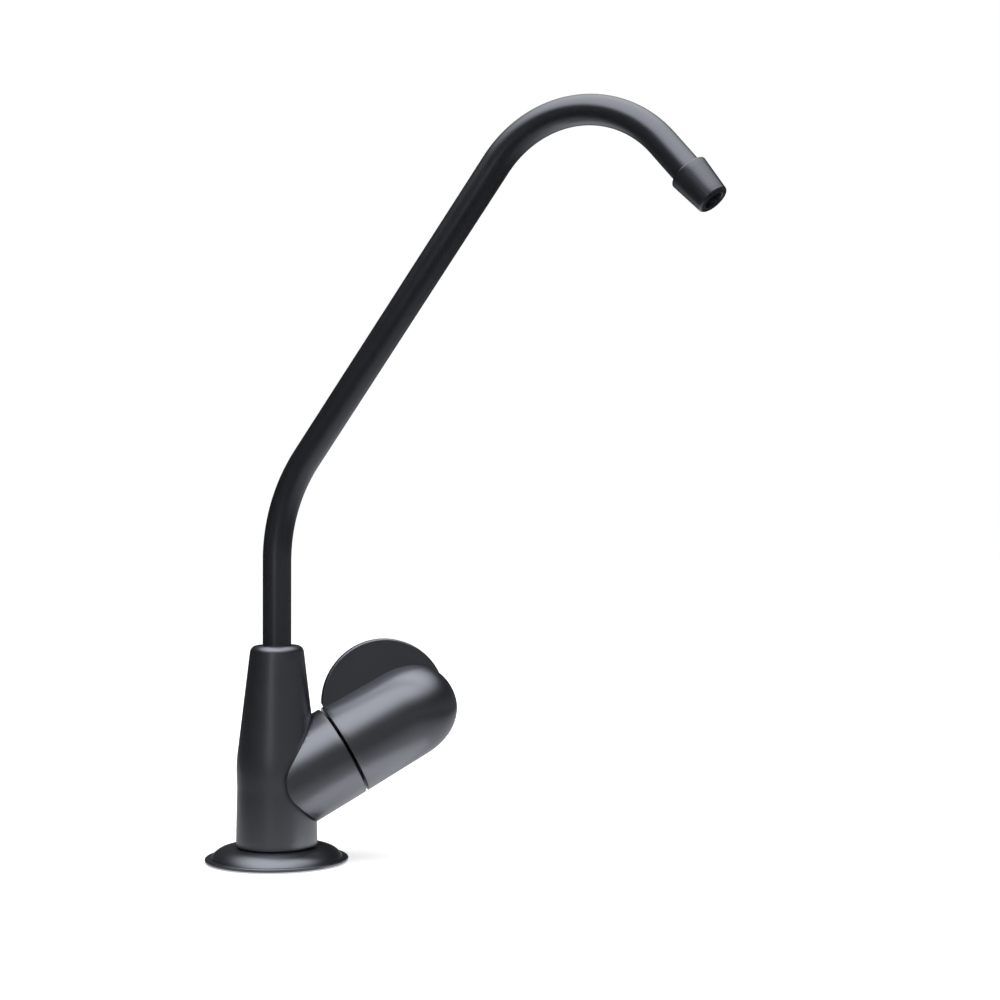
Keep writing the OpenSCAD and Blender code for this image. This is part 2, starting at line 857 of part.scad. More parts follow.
module cartridge_spindle()
    color(brass) {
        // Bar that turns the moving disc and leaves its ports free
        on_branch(drive_plate_start)
            linear_extrude(drive_plate_t)
                intersection() {
                    circle(drive_plate_r);
                    square([2 * drive_plate_r, drive_bar_w], center = true);
                }
        on_branch()
            rotate_extrude()
                difference() {
                    union() {
                        translate([0, shaft_start])
                            square([spindle_r, spindle_clip_start - shaft_start]);
                        translate([0, shaft_start])
                            square([clip_root_r, spline_start - shaft_start]);
                    }
                    for (t = [spindle_seal_inner_t, spindle_seal_outer_t])
                        translate([spindle_seal_ring_r - spindle_seal_r - seat_clear,
                                t - spindle_seal_r - seat_clear])
                            square(spindle_seal_d + 2 * seat_clear);
                }
        on_branch(spline_start)
            linear_extrude(spline_len)
                spline_outline(spline_r);
        // Lugs that turn the moving disc
        for (side = [-1, 1])
            on_branch(drive_plate_start - lug_depth)
                translate([side * port_offset, 0, 0])
                    cylinder(h = lug_depth + drive_plate_t / 2, r = lug_r);
    }

module spindle_oring_inner()
    color(rubber_black)
        on_branch(spindle_seal_inner_t)
            seal(spindle_seal_ring_r, spindle_seal_r);

module spindle_oring_outer()
    color(rubber_black)
        on_branch(spindle_seal_outer_t)
            seal(spindle_seal_ring_r, spindle_seal_r);

module spindle_thrust_washer()
    color(nylon)
        on_branch(thrust_start)
            ring(drive_plate_r, spindle_bore_r, thrust_washer_t);

module spindle_circlip()
    color(steel)
        on_branch(spindle_clip_start + seat_clear)
            open_ring(housing_neck_d / 2 - pass_clear, clip_root_r + seat_clear, spindle_clip_t, spindle_r);

// Ports sit to the sides of the moving disc and above and below on the fixed one, so the valve rests shut
module ceramic_disc_moving()
    color(ceramic)
        on_branch(disc_moving_t)
            difference() {
                cylinder(h = disc_t, r = disc_r - running);
                for (side = [-1, 1]) {
                    translate([0, side * port_offset, 0])
                        cylinder(h = 3 * disc_t, r = port_d / 2, center = true);
                    // Blind hole for a drive lug
                    translate([side * port_offset, 0, disc_t - lug_depth - seat_clear])
                        cylinder(h = disc_t, r = lug_r + seat_clear);
                }
            }

module ceramic_disc_fixed()
    color(ceramic)
        on_branch(disc_fixed_t)
            difference() {
                cylinder(h = disc_t, r = disc_r);
                for (side = [-1, 1])
                    translate([side * port_offset, 0, 0])
                        cylinder(h = 3 * disc_t, r = port_d / 2, center = true);
            }

module cartridge_seat_seal()
    color(rubber_black)
        on_branch(chamber_start)
            ring(disc_r, disc_r - seat_seal_w, seat_seal_t);

module threaded_shank()
    color(brass)
        rotate_extrude()
            difference() {
                union() {
                    translate([0, foot_z])
                        square([shank_top_d / 2, shank_top_len]);
                    translate([0, gasket_proud])
                        square([collar_r, foot_z - gasket_proud]);
                    translate([0, shank_end])
                        square([shank_r, gasket_proud - shank_end]);
                }
                translate([0, shank_end])
                    square([shank_bore_d / 2, shank_len + foot_z + shank_top_len]);
                translate([shank_r - relief_depth, -plain_len - relief_w])
                    square([shank_d, relief_w]);
            }

module deck_soft_washer()
    color(rubber_black)
        translate([0, 0, soft_washer_z])
            ring(soft_washer_d / 2, shank_r + running, soft_washer_t);

module deck_metal_washer()
    color(steel)
        translate([0, 0, metal_washer_z])
            ring(metal_washer_d / 2, shank_r + running, metal_washer_t);

module lock_washer()
    color(steel)
        translate([0, 0, lock_washer_z])
            open_ring(lock_washer_d / 2, shank_r + running, lock_washer_t, lock_cut);

module fixing_nut()
    color(brass)
        translate([0, 0, nut_z])
            difference() {
                cylinder(h = nut_h, r = nut_af / sqrt(3), $fn = 6);
                translate([0, 0, -nut_h])
                    cylinder(h = 3 * nut_h, r = shank_r + running);
            }

module inlet_connector()
    color(white_plastic)
        rotate_extrude()
            difference() {
                translate([0, connector_end])
                    square([connector_d / 2, connector_top - connector_end]);
                translate([0, stop_top])
                    square([shank_r + seat_clear, connector_d + connector_grip]);
                translate([0, connector_end])
                    square([connector_hole_d / 2, connector_top - connector_end]);
                translate([0, connector_end])
                    square([guide_r, guide_top - connector_end]);
                translate([0, connector_end])
                    square([seal_chamber_r, seal_chamber_top - connector_end]);
                translate([0, connector_end])
                    square([collet_chamber_d / 2, collet_chamber_len]);
            }

module inlet_oring()
    color(rubber_black)
        translate([0, 0, seal_chamber_top - seal_chamber_len / 2])
            seal(inlet_seal_ring_r, inlet_seal_r);

module inlet_grip_ring()
    color(steel)
        translate([0, 0, grip_ring_z])
            ring(collet_r, guide_r + seat_clear, grip_ring_t);

module inlet_collet()
    color(white_plastic)
        rotate_extrude()
            difference() {
                union() {
                    translate([0, collet_flange_top - collet_flange_t])
                        square([collet_r, collet_top - collet_flange_top + collet_flange_t]);
                    translate([0, collet_flange_top - collet_flange_t])
                        square([collet_flange_d / 2, collet_flange_t]);
                }
                translate([0, collet_flange_top - collet_flange_t])
                    square([collet_bore_r, collet_top - collet_flange_top + collet_flange_t]);
            }

body();
escutcheon_plate();
base_gasket();
foot_washer();
spout_tube();
nozzle_tip();
spout_stem();
spout_oring_lower();
spout_oring_upper();
spout_slip_washer();
spout_circlip();
spout_guide_bush();
handle();
handle_grub_screw();
cartridge_housing();
housing_oring();
cartridge_spindle();
spindle_oring_inner();
spindle_oring_outer();
spindle_thrust_washer();
spindle_circlip();
ceramic_disc_moving();
ceramic_disc_fixed();
cartridge_seat_seal();
threaded_shank();
deck_soft_washer();
deck_metal_washer();
lock_washer();
fixing_nut();
inlet_connector();
inlet_oring();
inlet_grip_ring();
inlet_collet();
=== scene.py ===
import json
from math import atan2, ceil, cos, floor, pi, radians, sin, sqrt, tan

import bpy
from mathutils import Matrix, Vector


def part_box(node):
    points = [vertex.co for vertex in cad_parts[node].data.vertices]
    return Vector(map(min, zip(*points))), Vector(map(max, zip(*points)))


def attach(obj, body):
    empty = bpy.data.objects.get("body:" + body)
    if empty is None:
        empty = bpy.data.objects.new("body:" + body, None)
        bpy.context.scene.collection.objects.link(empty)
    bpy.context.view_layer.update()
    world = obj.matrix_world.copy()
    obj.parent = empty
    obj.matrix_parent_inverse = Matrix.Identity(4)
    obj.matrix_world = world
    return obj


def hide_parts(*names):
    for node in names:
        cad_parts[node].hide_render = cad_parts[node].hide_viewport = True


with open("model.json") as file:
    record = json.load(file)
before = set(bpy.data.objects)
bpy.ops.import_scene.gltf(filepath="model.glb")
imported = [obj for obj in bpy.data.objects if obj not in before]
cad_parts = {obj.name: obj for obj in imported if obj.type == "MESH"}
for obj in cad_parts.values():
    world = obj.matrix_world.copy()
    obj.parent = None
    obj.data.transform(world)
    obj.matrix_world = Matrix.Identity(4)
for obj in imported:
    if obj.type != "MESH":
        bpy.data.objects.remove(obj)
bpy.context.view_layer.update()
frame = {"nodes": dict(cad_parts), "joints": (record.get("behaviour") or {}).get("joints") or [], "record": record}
joints = {joint["name"]: joint for joint in frame["joints"]}
mm = 0.001
inch = 25.4  # in millimetres
meshing = {"weld": 0.001, "cutWeld": 0.0005, "smoothUnder": 30, "past": 1.0}  # past: a cutter's overshoot
print("frame loaded with", len(frame["nodes"]), "nodes")

# the branch's own frame: Z along the handle's axis, -X upwards
handleAxis = Vector(joints["handle_turn"]["axis"]).normalized()
branchSide = Vector((-handleAxis.y, handleAxis.x, 0)).normalized()
branchFrame = Matrix((branchSide.cross(handleAxis), branchSide, handleAxis)).transposed().to_4x4()
branchFrame.translation = Vector(joints["handle_turn"]["pos_m"])
branchLevel = Vector((handleAxis.x, handleAxis.y, 0)).normalized()  # the branch's way, seen from above


# outlines in millimetres, as (radius, height)

def arcAround(centre, start, end, steps):  # the short way round from start to end
    first, last = start - centre, end - centre
    begin = atan2(first.y, first.x)
    turn = (atan2(last.y, last.x) - begin + pi) % (2 * pi) - pi
    ways = [begin + turn * i / steps for i in range(steps + 1)]
    return [centre + first.length * Vector((cos(way), sin(way))) for way in ways]


def arcBetween(start, end, radius, steps):  # the arc's centre lies on the left of the way from start to end
    start, end = Vector(start), Vector(end)
    chord = end - start
    across = Vector((-chord.y, chord.x)).normalized()
    centre = (start + end) / 2 + across * sqrt(radius ** 2 - chord.length_squared / 4)
    return arcAround(centre, start, end, steps)


def roundCorners(corners, steps=5):  # each corner is (radius, height) or (radius, height, rounding)
    points = []
    for i, corner in enumerate(corners):
        here = Vector(corner[:2])
        if len(corner) < 3:
            points.append(here)
            continue
        before = (Vector(corners[i - 1][:2]) - here).normalized()
        after = (Vector(corners[(i + 1) % len(corners)][:2]) - here).normalized()
        half = before.angle(after) / 2
        reach = corner[2] / tan(half)
        centre = here + (before + after).normalized() * corner[2] / sin(half)
        points += arcAround(centre, here + before * reach, here + after * reach, steps)
    return points


def spaced(points, gap):  # adds points along the long straight stretches
    result = [points[0]]
    for here, there in zip(points, points[1:]):
        count = ceil((there - here).length / gap)
        result += [here.lerp(there, i / count) for i in range(1, count + 1)]
    return result


# modelling steps that several pieces share

def deselectAll():
    if bpy.context.object and bpy.context.object.mode != "OBJECT":
        bpy.ops.object.mode_set(mode="OBJECT")
    bpy.ops.object.select_all(action="DESELECT")


def pick(piece):
    deselectAll()
    bpy.context.view_layer.objects.active = piece
    piece.select_set(True)


def drawOutline(name, points, closed=False):  # a chain of edges in the XZ plane, left in edit mode
    deselectAll()
    places = [Vector((p[0], 0, p[1])) * mm for p in points]
    bpy.ops.mesh.primitive_plane_add(size=mm, location=(0, 0, 0))
    piece = bpy.context.object
    piece.name = name
    bpy.ops.object.mode_set(mode="EDIT")
    bpy.ops.mesh.merge(type="CENTER")
    bpy.ops.transform.translate(value=places[0])
    for here, there in zip(places, places[1:]):
        bpy.ops.mesh.extrude_region_move(TRANSFORM_OT_translate={"value": there - here})
    bpy.ops.mesh.select_all(action="SELECT")
    if closed:
        bpy.ops.mesh.edge_face_add()
    return piece


def cleanUp():  # welds doubles, turns the faces outwards and leaves edit mode
    bpy.ops.mesh.select_all(action="SELECT")
    bpy.ops.mesh.remove_doubles(threshold=meshing["weld"] * mm)
    bpy.ops.mesh.dissolve_degenerate(threshold=meshing["weld"] * mm)
    bpy.ops.mesh.normals_make_consistent(inside=False)
    bpy.ops.object.mode_set(mode="OBJECT")


def turned(name, points, around=96, closed=False):  # an outline spun round Z
    piece = drawOutline(name, list(points) + ([points[0]] if closed else []))
    bpy.ops.mesh.spin(steps=around, angle=2 * pi, center=(0, 0, 0), axis=(0, 0, 1))
    cleanUp()
    return piece


def stepped(name, radii, levels, around=96):  # cylinders round Z, each from one level to the next
    points = [(0, levels[0])]
    for radius, start, end in zip(radii, levels, levels[1:]):
        points += [(radius, start), (radius, end)]
    return turned(name, points + [(0, levels[-1])], around)


def prism(name, sides, radius, low, high, turn=0):  # upright, on the Z axis
    deselectAll()
    bpy.ops.mesh.primitive_cylinder_add(vertices=sides, radius=radius * mm, depth=(high - low) * mm,
                                        location=(0, 0, (high + low) / 2 * mm),
                                        rotation=(0, 0, radians(turn)))
    piece = bpy.context.object
    piece.name = name
    bpy.ops.object.transform_apply(location=True, rotation=True, scale=True)
    return piece


def placed(piece, matrix):  # moves the mesh, and leaves the object at the origin
    pick(piece)
    piece.matrix_world = matrix @ piece.matrix_world
    bpy.ops.object.transform_apply(location=True, rotation=True, scale=True)
    return piece


def combined(piece, tool, operation):  # the tool is used up
    pick(piece)
    modifier = piece.modifiers.new("combine", "BOOLEAN")
    modifier.operation = operation
    modifier.solver = "EXACT"
    modifier.object = tool
    bpy.ops.object.modifier_apply(modifier=modifier.name)
    bpy.data.objects.remove(tool, do_unlink=True)
    return piece


def softened(piece, width, segments=3, sharper=35):  # rounds the edges sharper than so many degrees
    pick(piece)
    modifier = piece.modifiers.new("soften", "BEVEL")
    modifier.width = width * mm
    modifier.segments = segments
    modifier.limit_method = "ANGLE"
    modifier.angle_limit = radians(sharper)
    bpy.ops.object.modifier_apply(modifier=modifier.name)
    return piece


def finished(piece, body, finish, replaced):
    pick(piece)
    bpy.ops.object.mode_set(mode="EDIT")
    cleanUp()
    bpy.ops.object.shade_smooth_by_angle(angle=radians(meshing["smoothUnder"]))
    piece.data.materials.clear()
    piece.data.materials.append(finish)
    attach(piece, body)
    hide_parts(replaced)


# shader sockets that add up and multiply

class Wire:
    def __init__(self, finish, socket):
        self.finish = finish
        self.socket = socket

    def maths(self, operation, first, second):
        return self.finish.node("Math", {"operation": operation}, i0=first, i1=second)

    def __add__(self, other):
        return self.maths("ADD", self, other)

    def __rsub__(self, other):
        return self.maths("SUBTRACT", other, self)

    def __mul__(self, other):
        return self.maths("MULTIPLY", self, other)

    __radd__ = __add__
    __rmul__ = __mul__


class Finish:
    def __init__(self, name, owner=None):
        self.owner = owner or bpy.data.materials.new(name)
        self.owner.use_nodes = True
        self.tree = self.owner.node_tree
        self.places = None

    def node(self, kind, settings=None, output=0, **values):
        made = self.tree.nodes.new("ShaderNode" + kind)
        for setting, value in (settings or {}).items():
            setattr(made, setting, value)
        self.feed(made, values)
        return Wire(self, made.outputs[output])

    def feed(self, made, values):  # Base_Color stands for the socket Base Color, and i6 for socket number 6
        for name, value in values.items():
            place = made.inputs[int(name[1:]) if name[1:].isdigit() else name.replace("_", " ")]
            if isinstance(value, Wire):
                self.tree.links.new(value.socket, place)
            else:
                place.default_value = value

    def place(self):
        if not self.places:
            self.places = self.node("TexCoord", output="Object")
        return self.places

    def noise(self, size, detail=2.0, rough=0.5):  # size in millimetres
        return self.node("TexNoise", Vector=self.place(), Scale=1 / (size * mm), Detail=detail,
                         Roughness=rough)

    def blend(self, factor, first, second):  # between two colours
        return self.node("Mix", {"data_type": "RGBA"}, output=2, Factor=factor, i6=(*first, 1),
                         i7=(*second, 1))

    def bump(self, height, depth, strength):  # depth in millimetres
        return self.node("Bump", Height=height, Distance=depth * mm, Strength=strength)

    def surface(self, **values):
        self.feed(self.tree.nodes["Principled BSDF"], values)
        return self.owner


# finishes, with the size of their grain and the depth of their relief in millimetres

coat = {"dark": (0.0060, 0.0063, 0.0076), "light": (0.0100, 0.0104, 0.0122), "tint": (0.84, 0.885, 1.0, 1),
        "grain": 0.16, "cloud": 6.0, "grainShare": 0.3, "grainRough": 0.06, "cloudRough": 0.04,
        "relief": 0.004, "reliefShare": 0.15}


def powderCoat(name, rough, ior):
    finish = Finish(name)
    grain = finish.noise(coat["grain"])
    cloud = finish.noise(coat["cloud"], detail=3.0)
    share = cloud * (1 - coat["grainShare"]) + grain * coat["grainShare"]
    return finish.surface(Base_Color=finish.blend(share, coat["dark"], coat["light"]), IOR=ior,
                          Roughness=rough + coat["grainRough"] * grain + coat["cloudRough"] * cloud,
                          Specular_Tint=coat["tint"],
                          Normal=finish.bump(grain, coat["relief"], coat["reliefShare"]))


rubber = {"dark": (0.012, 0.012, 0.013), "light": (0.026, 0.026, 0.027), "grain": 0.25, "dust": 3.0,
          "rough": 0.62, "grainRough": 0.2, "relief": 0.01, "reliefShare": 0.5}


def mouldedRubber():
    finish = Finish("blackRubber")
    grain = finish.noise(rubber["grain"], detail=3.0)
    dust = finish.noise(rubber["dust"], detail=4.0, rough=0.6)
    return finish.surface(Base_Color=finish.blend(dust, rubber["dark"], rubber["light"]),
                          Roughness=rubber["rough"] + rubber["grainRough"] * grain,
                          Normal=finish.bump(grain, rubber["relief"], rubber["reliefShare"]))


brass = {"grooves": 900.0, "wander": 2.0, "tarnish": 4.0, "rough": 0.22, "tarnishRough": 0.2, "relief": 0.004,
         "reliefShare": 0.4}


def turnedBrass(name, clean, dull):
    finish = Finish(name)
    grooves = finish.node("TexWave", {"bands_direction": "Z"}, Vector=finish.place(), Scale=brass["grooves"],
                          Distortion=brass["wander"])
    tarnish = finish.noise(brass["tarnish"], detail=4.0, rough=0.6)
    return finish.surface(Base_Color=finish.blend(tarnish, clean, dull), Metallic=1.0,
                          Roughness=brass["rough"] + brass["tarnishRough"] * tarnish,
                          Normal=finish.bump(grooves, brass["relief"], brass["reliefShare"]))


steel = {"dark": (0.52, 0.53, 0.55), "light": (0.66, 0.67, 0.68), "spangle": 1.2, "rough": 0.25,
         "spangleRough": 0.2, "relief": 0.004, "reliefShare": 0.3}


def platedSteel():
    finish = Finish("zincSteel")
    spangle = finish.noise(steel["spangle"], detail=3.0)
    return finish.surface(Base_Color=finish.blend(spangle, steel["dark"], steel["light"]), Metallic=1.0,
                          Roughness=steel["rough"] + steel["spangleRough"] * spangle,
                          Normal=finish.bump(spangle, steel["relief"], steel["reliefShare"]))


ceramic = {"dark": (0.80, 0.77, 0.70), "light": (0.86, 0.84, 0.79), "fleck": 0.5, "rough": 0.12,
           "fleckRough": 0.1}


def lappedCeramic():
    finish = Finish("ceramicWhite")
    fleck = finish.noise(ceramic["fleck"])
    return finish.surface(Base_Color=finish.blend(fleck, ceramic["dark"], ceramic["light"]),
                          Roughness=ceramic["rough"] + ceramic["fleckRough"] * fleck)


plastic = {"grain": 0.3, "cloud": 5.0, "grainRough": 0.12, "relief": 0.006, "reliefShare": 0.3}


def mouldedPlastic(name, dark, light, rough):
    finish = Finish(name)
    grain = finish.noise(plastic["grain"])
    cloud = finish.noise(plastic["cloud"], detail=3.0)
    return finish.surface(Base_Color=finish.blend(cloud, dark, light),
                          Roughness=rough + plastic["grainRough"] * grain,
                          Normal=finish.bump(grain, plastic["relief"], plastic["reliefShare"]))


satinCast = powderCoat("satinCast", rough=0.29, ior=2.5)
satinTube = powderCoat("satinTube", rough=0.26, ior=2.1)  # drawn tube is smoother under its coat
blackRubber = mouldedRubber()
machinedBrass = turnedBrass("machinedBrass", clean=(0.62, 0.42, 0.14), dull=(0.50, 0.33, 0.11))
gapShadeBrass = turnedBrass("gapShadeBrass", clean=(0.030, 0.026, 0.020), dull=(0.018, 0.016, 0.013))  # painted shade: the brass is darkened to stand for the shade in the handle's gap
zincSteel = platedSteel()
ceramicWhite = lappedCeramic()
naturalNylon = mouldedPlastic("naturalNylon", dark=(0.62, 0.60, 0.50), light=(0.72, 0.70, 0.61), rough=0.4)
blackPlastic = mouldedPlastic("blackPlastic", dark=(0.012, 0.012, 0.013), light=(0.022, 0.022, 0.024),
                              rough=0.45)
whitePlastic = mouldedPlastic("whitePlastic", dark=(0.70, 0.70, 0.68), light=(0.78, 0.78, 0.76), rough=0.35)
finishOfSlot = {"satin_black": satinCast, "black_rubber": blackRubber, "brass": machinedBrass,
                "steel": zincSteel, "ceramic": ceramicWhite, "nylon": naturalNylon,
                "black_plastic": blackPlastic, "white_plastic": whitePlastic}
for subpart in frame["record"]["subparts"]:
    node = frame["nodes"][subpart["node"]]
    node.data.materials.clear()
    node.data.materials.append(finishOfSlot[subpart["material_slot"]])
frame["nodes"]["cartridge_housing"].data.materials[0] = gapShadeBrass  # painted shade: the housing shows as the shade in the handle's gap
print("finishes made:", len(finishOfSlot))


# the flange under the body

flange = {"wide": 50.0, "under": 0.3, "lip": 1.2, "lipEdge": 0.58, "ledge": 2.0, "high": 5.0, "dome": 7.2,
          "land": 14.8, "hole": 6.45, "holeTopEdge": 0.25, "holeFootEdge": 0.2, "recessFrom": 8.95,
          "recessTo": 20.95, "recessTop": 1.6, "recessEdge": 0.1}


def makeFlange():
    rim, hole, high = flange["wide"] / 2, flange["hole"], flange["high"]
    low, lipTop = flange["under"], flange["under"] + flange["lip"]
    underside = roundCorners([(hole, high, flange["holeTopEdge"]), (hole, low, flange["holeFootEdge"]),
                              (flange["recessFrom"], low), (flange["recessFrom"], flange["recessTop"]),
                              (flange["recessTo"], flange["recessTop"]),
                              (flange["recessTo"], low, flange["recessEdge"]),
                              (rim, low, flange["lipEdge"]), (rim, lipTop, flange["lipEdge"])])
    dome = arcBetween((rim - flange["ledge"], lipTop), (flange["land"], high), flange["dome"], steps=24)
    piece = turned("flange", underside + dome, around=160, closed=True)
    finished(piece, "tap_body", satinCast, "escutcheon_plate")


makeFlange()
print("flange turned")


# the body: a turned column and a branch that meets it in a rounded seam

column = {"foot": 14.2, "footAt": 5.5, "footEdge": 0.5, "side": 13.8, "kinkAt": 25.4, "kinkRound": 12.0,
          "swellTop": (14.0, 32.0), "swell": 53.3, "neckFoot": (13.638, 38.407), "neckTop": (9.15, 75.5),
          "neckEdge": 2.6, "socket": 6.6, "socketEdge": 0.2, "socketFloor": 52.0, "shankHole": 5.05,
          "shankHoleTop": 17.35}


def makeColumn():
    low = roundCorners([(0, column["shankHoleTop"]), (column["shankHole"], column["shankHoleTop"]),
                        (column["shankHole"], column["footAt"], column["footEdge"]),
                        (column["foot"], column["footAt"], column["footEdge"]),
                        (column["side"], column["kinkAt"], column["kinkRound"]), column["swellTop"]])
    swell = arcBetween(column["swellTop"], column["neckFoot"], column["swell"], steps=8)
    top = roundCorners([column["neckFoot"], (*column["neckTop"], column["neckEdge"]),
                        (column["socket"], column["neckTop"][1], column["socketEdge"]),
                        (column["socket"], column["socketFloor"]), (0, column["socketFloor"])], steps=8)
    return turned("body", spaced(low + swell[1:] + top[1:], gap=3.0), around=160)


branch = {"reach": 26.6, "end": 16.7, "rimEdge": 0.5, "draft": 0.5, "seamCorner": (-2.0, 27.2),
          "seamHigh": 58.6, "seamLow": 40.6, "seamRound": 10.0, "seamEdge": 1.0, "chamber": 10.0,
          "chamberFrom": 8.0, "mouth": 12.5, "mouthFrom": 21.0}


def makeBranch():
    reach, end = branch["reach"], branch["end"]
    spread = end + 2 * reach * tan(radians(branch["draft"]))
    outline = roundCorners([(0, -reach), (spread, -reach), (end, reach, branch["rimEdge"]), (0, reach)])
    stub = placed(turned("branch", spaced(outline, gap=2.0), around=160), branchFrame)
    # the seam's outline, pulled across the branch and well past it
    far = 3 * reach
    corner = Vector(branch["seamCorner"])
    high, low = radians(branch["seamHigh"]), radians(-branch["seamLow"])
    corners = [(*corner, branch["seamRound"]), corner + far * Vector((cos(low), sin(low))),
               corner + far * Vector((cos(high), sin(high)))]
    seam = drawOutline("seam", roundCorners(corners, steps=24), closed=True)
    bpy.ops.transform.translate(value=(0, -2 * end * mm, 0))
    bpy.ops.mesh.extrude_region_move(TRANSFORM_OT_translate={"value": (0, 4 * end * mm, 0)})
    cleanUp()
    placed(seam, Matrix.Rotation(atan2(branchLevel.y, branchLevel.x), 4, "Z"))
    combined(stub, seam, "INTERSECT")
    return softened(stub, branch["seamEdge"], segments=1, sharper=22)


def makeBody():
    piece = combined(makeColumn(), makeBranch(), "UNION")
    hollow = stepped("hollow", (branch["chamber"], branch["mouth"]),
                     (branch["chamberFrom"], branch["mouthFrom"], 2 * branch["reach"]), around=128)
    combined(piece, placed(hollow, branchFrame), "DIFFERENCE")
    finished(piece, "tap_body", satinCast, "body")


makeBody()
print("body joined")


# the handle: a hollow capsule with a disc paddle

paddle = {"radius": 22.4, "thick": 3.0, "edge": 0.7, "rise": 7.5, "along": 47.7, "from": 28.1}


def makePaddle():
    half = paddle["thick"] / 2
    outline = roundCorners([(0, -half), (paddle["radius"], -half, paddle["edge"]),
                            (paddle["radius"], half, paddle["edge"]), (0, half)], steps=6)
    disc = turned("paddle", outline, around=192)
    place = Matrix.Translation(Vector((-paddle["rise"], 0, paddle["along"])) * mm)
    placed(disc, branchFrame @ place @ Matrix.Rotation(pi / 2, 4, "X"))
    # cut off where it would reach out of the capsule's foot
    bpy.ops.object.mode_set(mode="EDIT")
    bpy.ops.mesh.select_all(action="SELECT")
    bpy.ops.mesh.bisect(plane_co=branchFrame @ Vector((0, 0, paddle["from"] * mm)), plane_no=handleAxis,
                        use_fill=True, clear_inner=True, threshold=meshing["cutWeld"] * mm)
    cleanUp()
    return disc


handle = {"start": 27.6, "base": 16.7, "domeFrom": 51.3, "domeBase": 16.36, "tip": 71.35, "domeSteps": 32,
          "full": 0.92, "edge": 0.5, "cavity": 13.1, "cavityTo": 55.6, "boss": 7.5, "bossFrom": 31.15,
          "spline": 4.55, "splineTo": 41.2, "grubHole": 2.05, "grubAt": 35.9, "grubTo": 30.0}


def makeHandle():
    side = [Vector((0, handle["start"])), Vector((handle["base"], handle["start"]))]
    high, steps = handle["tip"] - handle["domeFrom"], handle["domeSteps"]
    ways = [pi / 2 * i / steps for i in range(steps + 1)]
    full = handle["full"]  # under 1 the dome is fuller than an ellipse
    dome = [Vector((handle["domeBase"] * max(cos(way), 0) ** full,
                    handle["domeFrom"] + high * sin(way) ** full)) for way in ways]
    piece = placed(turned("handle", spaced(side + dome, gap=2.0), around=160), branchFrame)
    combined(piece, makePaddle(), "UNION")
    softened(piece, handle["edge"])
    cavity = stepped("cavity", (handle["cavity"], handle["boss"], handle["spline"]),
                     (0, handle["cavityTo"], handle["bossFrom"], handle["splineTo"]), around=128)
    combined(piece, placed(cavity, branchFrame), "DIFFERENCE")
    grub = stepped("grub", [handle["grubHole"]], (0, handle["grubTo"]), around=48)
    towardsGrub = Matrix.Translation((0, 0, handle["grubAt"] * mm)) @ Matrix.Rotation(pi / 2, 4, "Y")
    combined(piece, placed(grub, branchFrame @ towardsGrub), "DIFFERENCE")
    finished(piece, "handle", satinCast, "handle")


makeHandle()
print("handle joined to its paddle")


# the spout: a bent tube and a conical nozzle

spout = {"radius": 5.0, "wall": 1.0, "foot": 55.02, "lowBendAt": 105.0, "lowBend": 58.0, "lowTurn": 37.9,
         "slope": 121.8, "topBend": 38.6, "topTurn": 100.6, "tail": 13.3, "inNozzle": 8.0}


def bend(place, way, radius, turn, steps):  # bends the open end towards +X, and gives the new place and way
    side = Vector((way.z, 0, -way.x))
    centre = place + side * radius * mm
    bpy.ops.mesh.spin(steps=steps, angle=-radians(turn), center=centre, axis=(0, 1, 0))
    swing = Matrix.Rotation(radians(turn), 3, "Y")
    return centre + swing @ (place - centre), swing @ way


def straight(place, way, length, steps):  # draws the open end out, and gives the new place
    for _ in range(steps):
        bpy.ops.mesh.extrude_region_move(TRANSFORM_OT_translate={"value": way * length * mm / steps})
    return place + way * length * mm


def makeTube():  # gives the nozzle's place and way
    deselectAll()
    place, way = Vector((0, 0, spout["foot"] * mm)), Vector((0, 0, 1))
    bpy.ops.mesh.primitive_circle_add(vertices=64, radius=spout["radius"] * mm, location=place)
    tube = bpy.context.object
    tube.name = "tube"
    bpy.ops.object.transform_apply(location=True, rotation=True, scale=True)
    bpy.ops.object.mode_set(mode="EDIT")
    bpy.ops.mesh.select_all(action="SELECT")
    place = straight(place, way, spout["lowBendAt"] - spout["foot"], steps=12)
    place, way = bend(place, way, spout["lowBend"], spout["lowTurn"], steps=24)
    place = straight(place, way, spout["slope"], steps=24)
    place, way = bend(place, way, spout["topBend"], spout["topTurn"], steps=64)
    nozzlePlace = straight(place, way, spout["tail"], steps=4)
    straight(nozzlePlace, way, spout["inNozzle"], steps=2)
    cleanUp()
    pick(tube)
    wall = tube.modifiers.new("wall", "SOLIDIFY")
    wall.thickness = spout["wall"] * mm
    wall.offset = -1
    bpy.ops.object.modifier_apply(modifier=wall.name)
    finished(tube, "spout", satinTube, "spout_tube")
    return nozzlePlace, way


nozzle = {"shoulder": 6.6, "tip": 5.3, "long": 13.1, "edge": 0.5, "tipEdge": 1.0, "socket": 5.05,
          "socketEdge": 0.15, "socketDeep": 8.05, "outlet": 2.6, "mouth": 3.3, "mouthEdge": 0.5,
          "mouthDeep": 3.0}


def makeNozzle(place, way):
    outline = roundCorners([(nozzle["socket"], 0, nozzle["socketEdge"]),
                            (nozzle["shoulder"], 0, nozzle["edge"]),
                            (nozzle["tip"], nozzle["long"], nozzle["tipEdge"]),
                            (nozzle["mouth"], nozzle["long"], nozzle["mouthEdge"]),
                            (nozzle["outlet"], nozzle["long"] - nozzle["mouthDeep"]),
                            (nozzle["outlet"], nozzle["socketDeep"]),
                            (nozzle["socket"], nozzle["socketDeep"])], steps=8)
    piece = turned("nozzle", spaced(outline, gap=2.0), closed=True)
    frameAt = way.to_track_quat("Z", "Y").to_matrix().to_4x4()
    frameAt.translation = place
    placed(piece, frameAt)
    finished(piece, "spout", satinTube, "nozzle_tip")


